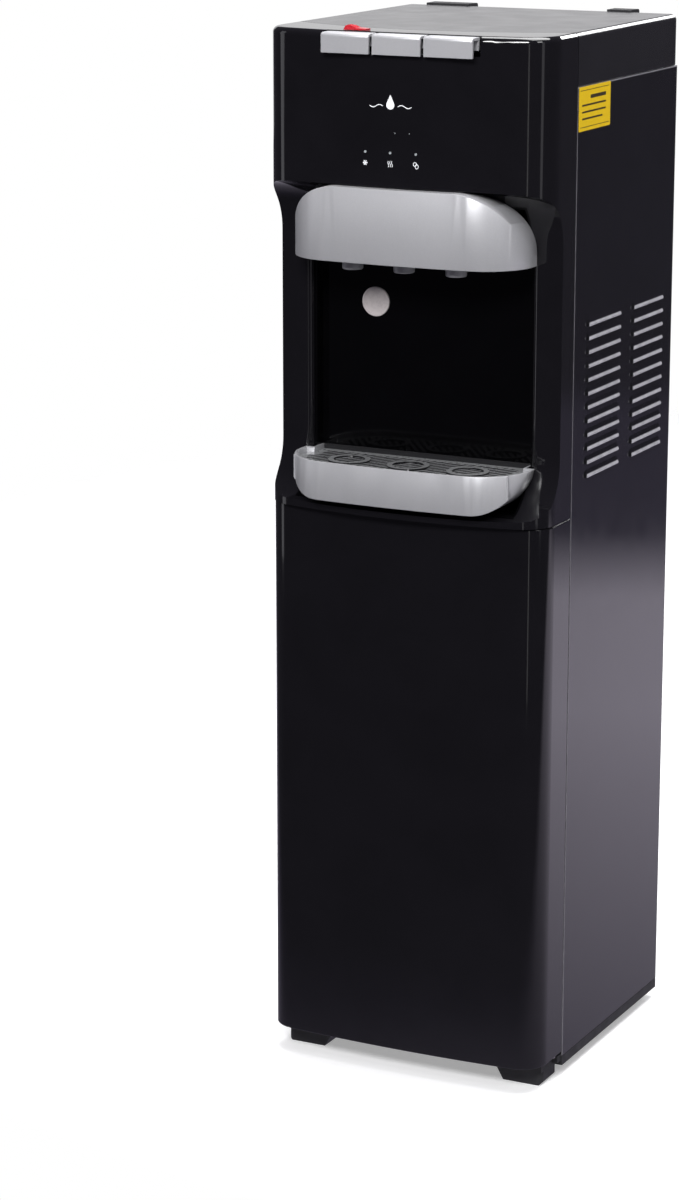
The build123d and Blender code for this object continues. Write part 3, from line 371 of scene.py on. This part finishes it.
def silicone():
    """Translucent milky hose."""
    f = Finish("silicone_finish").set(ior=1.41, subsurface_weight=0.35)
    f.shader.inputs["Subsurface Radius"].default_value = (0.003, 0.003, 0.0025)
    f.colour(f.noise(60, 4, 0.6), (0.62, 0.63, 0.61), (0.76, 0.77, 0.75))
    f.roughness(f.noise(300, 3, 0.6), 0.3, 0.45)
    f.bumps((f.noise(600, 3, 0.5), 0.00001))
    return f


def rubber():
    """Black elastomer with a powdery bloom."""
    f = Finish("rubber_finish").set(ior=1.45)
    f.colour(f.noise(70, 5, 0.7), (0.012, 0.012, 0.012), (0.04, 0.04, 0.039))
    f.roughness(f.noise(120, 4, 0.6), 0.62, 0.85)
    f.bumps((f.noise(900, 4, 0.6), 0.00004))
    return f


def pump_grey():
    """Glass-filled nylon."""
    f = Finish("pump_grey_finish").set(ior=1.5)
    f.colour(f.noise(150, 5, 0.7, stretch=(1, 1, 5)), (0.1, 0.105, 0.11), (0.17, 0.175, 0.18))
    f.roughness(f.noise(300, 4, 0.6), 0.45, 0.62)
    f.bumps((f.noise(1000, 3, 0.6, stretch=(1, 1, 3)), 0.00003))
    return f


def glowing_print_white():
    """Screen-printed ink, slightly uneven, with a painted glow."""
    # Painted glow: the ink emits light, though it is no lamp.
    f = Finish("glowing_print_white_finish").set(ior=1.5, emission_strength=0.3)
    f.set(emission_color=(0.9, 0.92, 0.95))
    f.colour(f.noise(1200, 3, 0.6), (0.72, 0.73, 0.75), (0.86, 0.87, 0.89))
    f.roughness(f.noise(900, 3, 0.6), 0.35, 0.5)
    return f


def sticker(name, dark, light):
    """Printed vinyl film with a soft sheen."""
    f = Finish(name).set(ior=1.5, coat_weight=0.25, coat_roughness=0.2)
    f.colour(f.noise(140, 5, 0.6), dark, light)
    f.roughness(f.noise(260, 4, 0.6), 0.3, 0.44)
    f.bumps((f.noise(120, 3, 0.5), 0.00002))
    return f


FINISHES = {
    "gloss_black": gloss_black(),
    "painted_black": painted_black(),
    "matte_black": matte_black(),
    "light_liner": light_liner(),
    "satin_silver": satin_silver(),
    "grille_grey": grille_grey(),
    "badge_white": badge_white(),
    "lock_red": coloured_plastic("lock_red_finish", (0.42, 0.012, 0.02), (0.6, 0.02, 0.035)),
    "switch_green": coloured_plastic("switch_green_finish", (0.01, 0.2, 0.06), (0.02, 0.32, 0.1)),
    "lens_clear": lens_clear(),
    "board_green": board_green(),
    "galvanised": galvanised(),
    "bright_steel": bright_steel(),
    "black_steel": black_steel(),
    "copper": copper(),
    "silicone": silicone(),
    "rubber": rubber(),
    "pump_grey": pump_grey(),
}
SIDE = louvred_side()
OWN_FINISH = {"top_cover": satin_cover(), "niche_panel": deep_black(), "drip_tray": tray_silver(),
              "left_side_panel": SIDE, "right_side_panel": SIDE}
GLOWING_PRINT = glowing_print_white()
YELLOW = sticker("sticker_yellow_finish", (0.86, 0.56, 0.003), (0.96, 0.65, 0.006))
INK = sticker("sticker_ink_finish", (0.03, 0.022, 0.01), (0.07, 0.05, 0.02))

for part in frame["record"]["subparts"]:
    name = part["node"]
    finish = OWN_FINISH.get(name) or FINISHES[part["material_slot"]]
    nodes[name].data.materials.clear()
    nodes[name].data.materials.append(finish.material)


# ----------------------------------------------------------------- softened edges
def soften(name, width):
    """Small rounds on a CAD node's sharp edges."""
    weld = nodes[name].modifiers.new("weld", "WELD")
    weld.merge_threshold = 0.00001
    bevel = nodes[name].modifiers.new("edges", "BEVEL")
    bevel.width = width
    bevel.segments = 2
    bevel.limit_method = "ANGLE"
    bevel.angle_limit = radians(50)
    bevel.harden_normals = True


SOFT_EDGES = {
    0.4 * MM: ("child_lock", "control_box", "wall_spacers", "switch_housings", "door_catch",
               "front_feet", "mid_deck", "tank_shelf", "drip_grille", "round_badge"),
    0.7 * MM: ("tap_canopy", "drip_tray", "hot_paddle", "room_paddle", "cold_paddle"),
}
for edge, names in SOFT_EDGES.items():
    for name in names:
        soften(name, edge)


# ------------------------------------------------------------------- flat pieces
def plate(name, outline, thickness, finish, place):
    """A thin piece from a closed outline of (u, v) points; place turns (u, v, w) into a point."""
    mesh = bpy.data.meshes.new(name)
    shape = bmesh.new()
    rear = [shape.verts.new(place(u, v, 0.0)) for u, v in outline]
    front = [shape.verts.new(place(u, v, thickness)) for u, v in outline]
    shape.faces.new(front)
    shape.faces.new(list(reversed(rear)))
    count = len(outline)
    for i in range(count):
        j = (i + 1) % count
        shape.faces.new((rear[i], rear[j], front[j], front[i]))
    bmesh.ops.recalc_face_normals(shape, faces=shape.faces)
    shape.to_mesh(mesh)
    shape.free()
    mesh.materials.append(finish.material)
    made = bpy.data.objects.new(name, mesh)
    bpy.context.scene.collection.objects.link(made)
    return made


def stroke(name, lines, radius, finish, place):
    """Printed lines: each a list of (u, v) points, as one raised line object."""
    curve = bpy.data.curves.new(name, "CURVE")
    curve.dimensions = "3D"
    curve.bevel_depth = radius
    curve.bevel_resolution = 2
    curve.use_fill_caps = True
    for points, closed in lines:
        spline = curve.splines.new("POLY")
        spline.points.add(len(points) - 1)
        for point, (u, v) in zip(spline.points, points):
            point.co = (*place(u, v, 0.0), 1.0)
        spline.use_cyclic_u = closed
    curve.materials.append(finish.material)
    made = bpy.data.objects.new(name, curve)
    bpy.context.scene.collection.objects.link(made)
    return made


def ring(radius, count=40, centre=(0.0, 0.0), stretch=1.0):
    """Points round a circle or an ellipse."""
    turn = 2 * pi / count
    across, up = centre
    return [(across + radius * cos(i * turn), up + radius * stretch * sin(i * turn)) for i in range(count)]


fascia_low, fascia_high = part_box("front_fascia")
half_width = fascia_high.x
brow_y = fascia_low.y
BROW_BOW = 18 * MM


def on_fascia(x0, z0):
    """Turns (u, v, w) into a point on the fascia's bowed front, round the point x0, z0."""
    def place(u, v, w):
        x = x0 + u
        return Vector((x, brow_y + BROW_BOW * (x / half_width) ** 2 - w, z0 + v))
    return place


# ------------------------------------------------------- emblem and printed marks
lens_low, lens_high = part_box("indicator_lenses")
lens_x = (lens_low.x + lens_high.x) / 2
lens_z = (lens_low.z + lens_high.z) / 2
LENS_PITCH = 26.7 * MM
MARK_DROP = 10.5 * MM
LINE = 0.34 * MM


def drop_outline(radius, height, count=28):
    """A water drop: a round belly under a point."""
    points = []
    for i in range(count):
        a = -pi / 2 + 2 * pi * i / count
        lift = max(0.0, sin(a)) ** 3
        points.append((radius * cos(a) * (1 - 0.55 * lift), radius * sin(a) + (height - radius) * lift))
    return points


def wave(start, end, height, turns, count=48):
    """A flat sine wave between two x values."""
    span = end - start
    return [(start + span * i / count, height * sin(2 * pi * turns * i / count)) for i in range(count + 1)]


EMBLEM_RISE = 45 * MM
DROP_RADIUS = 4.2 * MM
DROP_HEIGHT = 9.5 * MM
INK_DEPTH = 0.3 * MM
RIPPLE_NEAR = 8 * MM
RIPPLE_FAR = 22 * MM
RIPPLE_HEIGHT = 1.3 * MM
RIPPLE_DROP = 1.2 * MM
RIPPLE_LINE = 0.45 * MM
emblem_at = on_fascia(lens_x, lens_z + EMBLEM_RISE)
emblem = plate("drop_emblem", drop_outline(DROP_RADIUS, DROP_HEIGHT), INK_DEPTH, GLOWING_PRINT, emblem_at)
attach(emblem, "cabinet")
ripple_lines = []
for side in (-1, 1):
    curve = wave(side * RIPPLE_NEAR, side * RIPPLE_FAR, RIPPLE_HEIGHT, 1.0)
    ripple_lines.append(([(u, v - RIPPLE_DROP) for u, v in curve], False))
ripples = stroke("drop_emblem_waves", ripple_lines, RIPPLE_LINE, GLOWING_PRINT, emblem_at)
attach(ripples, "cabinet")


def snowflake():
    """Six barbed arms."""
    arm = 2.6 * MM
    lines = []
    for k in range(6):
        a = k * pi / 3
        tip = (arm * cos(a), arm * sin(a))
        lines.append(([(0.0, 0.0), tip], False))
        knot = (0.6 * arm * cos(a), 0.6 * arm * sin(a))
        for lean in (-1, 1):
            b = a + lean * radians(50)
            lines.append(([knot, (knot[0] + 0.3 * arm * cos(b), knot[1] + 0.3 * arm * sin(b))], False))
    return lines


def warm_waves():
    """Three rising heat waves."""
    spacing = 1.9 * MM
    sway = 0.5 * MM
    rise = 5.6 * MM
    steps = 16
    lines = []
    for k in (-1, 0, 1):
        turns = [i / steps for i in range(steps + 1)]
        lines.append(([(k * spacing + sway * sin(2 * pi * t), (t - 0.5) * rise) for t in turns], False))
    return lines


def two_rings():
    """Two overlapping rings, a full and an empty bottle seen from above."""
    return [(ring(1.7 * MM, centre=(-0.9 * MM, 1.0 * MM)), True),
            (ring(1.6 * MM, centre=(1.0 * MM, -1.1 * MM), stretch=1.25), True)]


MARKS = (("cold", snowflake()), ("warm", warm_waves()), ("bottle", two_rings()))
for number, (name, lines) in enumerate(MARKS):
    place = on_fascia(lens_x + (number - 1) * LENS_PITCH, lens_z - MARK_DROP)
    mark = stroke(f"{name}_mark", lines, LINE, GLOWING_PRINT, place)
    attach(mark, "cabinet")

# two pin-hole windows above the marks
WINDOW_RISE = 19 * MM
WINDOW_RADIUS = 0.45 * MM
WINDOW_DEPTH = 0.1 * MM
for number, x in enumerate((lens_x + 5 * MM, lens_x + 20 * MM)):
    window = plate(f"pinhole_{number}", ring(WINDOW_RADIUS, 16), WINDOW_DEPTH, FINISHES["lens_clear"],
                   on_fascia(x, lens_z + WINDOW_RISE))
    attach(window, "cabinet")

# ------------------------------------------------------------- wordless sticker
panel_low, panel_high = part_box("right_side_panel")
STICKER_WIDTH = 77 * MM
STICKER_HEIGHT = 42 * MM
FILM = 0.15 * MM
STICKER_CORNER = 1.5 * MM
STICKER_INSET = 2 * MM
STICKER_DROP = 21.5 * MM
sticker_y = panel_low.y + STICKER_INSET + STICKER_WIDTH / 2
sticker_z = panel_high.z - STICKER_DROP


def on_side(y0, z0, lift=0.0):
    """Turns (u, v, w) into a point on the right side panel, round the point y0, z0."""
    def place(u, v, w):
        return Vector((half_width + 0.02 * MM + lift + w, y0 + u, z0 + v))
    return place


def box_outline(width, height, corner, steps=4):
    """A rectangle about the origin with round corners."""
    half_u = width / 2 - corner
    half_v = height / 2 - corner
    points = []
    for k, (sx, sy) in enumerate(((1, 1), (-1, 1), (-1, -1), (1, -1))):
        for i in range(steps + 1):
            a = pi / 2 * (k + i / steps)
            points.append((sx * half_u + corner * cos(a), sy * half_v + corner * sin(a)))
    return points


film_outline = box_outline(STICKER_WIDTH, STICKER_HEIGHT, STICKER_CORNER)
film = plate("side_sticker", film_outline, FILM, YELLOW, on_side(sticker_y, sticker_z))
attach(film, "cabinet")

# plain bars on it, as place and size in millimetres: two rules, a heading and three rows
BARS = (((0, 17.4), (70, 0.6)), ((0, -17.4), (70, 0.6)), ((8, 10.5), (38, 3.4)),
        ((-2, 3.2), (58, 1.7)), ((-2, -3.2), (58, 1.7)), ((-6, -9.6), (50, 1.7)))
BAR_CORNER = 0.8 * MM
BAR_DEPTH = 0.05 * MM
for number, ((u, v), (width, height)) in enumerate(BARS):
    corner = min(height * MM / 2.2, BAR_CORNER)
    outline = box_outline(width * MM, height * MM, corner)
    bar = plate(f"sticker_bar_{number}", outline, BAR_DEPTH, INK,
                on_side(sticker_y + u * MM, sticker_z + v * MM, FILM))
    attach(bar, "cabinet")

# -------------------------------------------------------------------------- stage
STAGE_RADIUS = 2.2
STAGE_CENTRE = (0.35, 1.65)


def pale_floor():
    """A round pale sweep that fades out at its rim."""
    mesh = bpy.data.meshes.new("floor")
    shape = bmesh.new()
    bmesh.ops.create_circle(shape, cap_ends=True, segments=96, radius=STAGE_RADIUS)
    shape.to_mesh(mesh)
    shape.free()
    floor = bpy.data.objects.new("floor", mesh)
    floor.location = (*STAGE_CENTRE, 0.0)
    bpy.context.scene.collection.objects.link(floor)
    f = Finish("floor_finish").set(roughness=0.6, emission_color=(1.0, 1.0, 1.0), emission_strength=0.35)
    f.colour(f.noise(3, 3, 0.5), (0.84, 0.84, 0.85), (0.88, 0.88, 0.89))
    reach = f.node("ShaderNodeVectorMath", operation="LENGTH")
    f.link(f.place, reach.inputs[0])
    fade = f.spread(reach.outputs["Value"], 0.0, 1.0, 0.86 * STAGE_RADIUS, 0.99 * STAGE_RADIUS)
    # glossy faces see a dimmer floor, lightest in a band behind and beside the object
    rearward = f.node("ShaderNodeVectorMath", operation="DOT_PRODUCT")
    rearward.inputs[1].default_value = (0.45, 0.9, 0.0)
    f.link(f.place, rearward.inputs[0])
    near = f.spread(rearward.outputs["Value"], 0.0, 1.0, -2.0, -0.3)
    band = f.node("ShaderNodeMath", operation="MULTIPLY")
    f.link(near, band.inputs[0])
    f.link(f.spread(rearward.outputs["Value"], 1.0, 0.0, 0.35, 0.8), band.inputs[1])
    dim = f.node("ShaderNodeEmission")
    f.link(f.mix(band.outputs["Value"], (0.1, 0.09, 0.13), (0.8, 0.74, 0.88)), dim.inputs["Color"])
    rays = f.node("ShaderNodeLightPath")
    seen = f.node("ShaderNodeMixShader")
    f.link(rays.outputs["Is Glossy Ray"], seen.inputs["Fac"])
    f.link(f.shader.outputs["BSDF"], seen.inputs[1])
    f.link(dim.outputs["Emission"], seen.inputs[2])
    clear = f.node("ShaderNodeBsdfTransparent")
    both = f.node("ShaderNodeMixShader")
    output = f.tree.nodes["Material Output"]
    f.link(fade, both.inputs["Fac"])
    f.link(seen.outputs["Shader"], both.inputs[1])
    f.link(clear.outputs["BSDF"], both.inputs[2])
    f.link(both.outputs["Shader"], output.inputs["Surface"])
    mesh.materials.append(f.material)


pale_floor()


def softbox(name, place, aim, size, power, colour=(1.0, 1.0, 1.0)):
    """A rectangular lamp pointed at a place, unseen by the camera."""
    data = bpy.data.lights.new(name, "AREA")
    data.shape = "RECTANGLE"
    data.size, data.size_y = size
    data.energy = power
    data.color = colour
    lamp = bpy.data.objects.new(name, data)
    lamp.location = place
    lamp.rotation_euler = (Vector(aim) - Vector(place)).to_track_quat("-Z", "Y").to_euler()
    lamp.visible_camera = False
    bpy.context.scene.collection.objects.link(lamp)


softbox("overhead", (0.2, 0.4, 3.0), (0.1, 0.2, 0.0), (2.4, 1.8), 110)
softbox("front_fill", (0.6, -3.2, 2.6), (0.0, 0.0, 0.6), (1.6, 0.9), 125)
softbox("left_strip", (-1.9, -0.9, 1.0), (0.0, 0.0, 0.6), (0.5, 2.0), 2.5, (0.95, 0.95, 1.0))
softbox("right_fill", (2.4, -1.4, 2.5), (0.0, 0.0, 0.8), (0.8, 0.8), 14)
softbox("corner_strip", (1.0, -2.0, 0.5), (0.15, -0.15, 0.8), (0.12, 1.3), 0.35)
softbox("right_strip", (2.3, -0.9, 1.0), (0.0, -0.1, 0.6), (0.35, 2.0), 1.2, (0.96, 0.95, 1.0))
softbox("rear_card", (-1.9, 3.9, 1.4), (0.0, 0.0, 0.9), (4.5, 2.0), 20)
softbox("rear_high", (0.5, 3.2, 2.3), (0.1, 0.0, 0.8), (1.4, 0.6), 28)

world = bpy.data.worlds.new("studio")
bpy.context.scene.world = world
world.use_nodes = True
tree = world.node_tree
surround = tree.nodes["Background"]
surround.inputs["Color"].default_value = (0.05, 0.047, 0.06, 1.0)
paper = tree.nodes.new("ShaderNodeBackground")
paper.inputs["Color"].default_value = (1.0, 1.0, 1.0, 1.0)
rays = tree.nodes.new("ShaderNodeLightPath")
both = tree.nodes.new("ShaderNodeMixShader")
tree.links.new(rays.outputs["Is Camera Ray"], both.inputs["Fac"])
tree.links.new(surround.outputs["Background"], both.inputs[1])
tree.links.new(paper.outputs["Background"], both.inputs[2])
tree.links.new(both.outputs["Shader"], tree.nodes["World Output"].inputs["Surface"])
bpy.context.scene.view_settings.view_transform = "Standard"

# ------------------------------------------------------------------------- camera
CAMERA_PLACE = (1.4229, -3.0981, 1.3171)
CAMERA_PITCH = radians(14.14)
CAMERA_YAW = radians(26.89)
camera_data = bpy.data.cameras.new("camera")
camera_data.sensor_width = 36.0
camera_data.lens = 103.17
camera = bpy.data.objects.new("camera", camera_data)
camera.location = CAMERA_PLACE
level = cos(CAMERA_PITCH)
ahead = Vector((-sin(CAMERA_YAW) * level, cos(CAMERA_YAW) * level, -sin(CAMERA_PITCH)))
camera.rotation_mode = "QUATERNION"
camera.rotation_quaternion = ahead.to_track_quat("-Z", "Y")
bpy.context.scene.collection.objects.link(camera)
bpy.context.scene.camera = camera
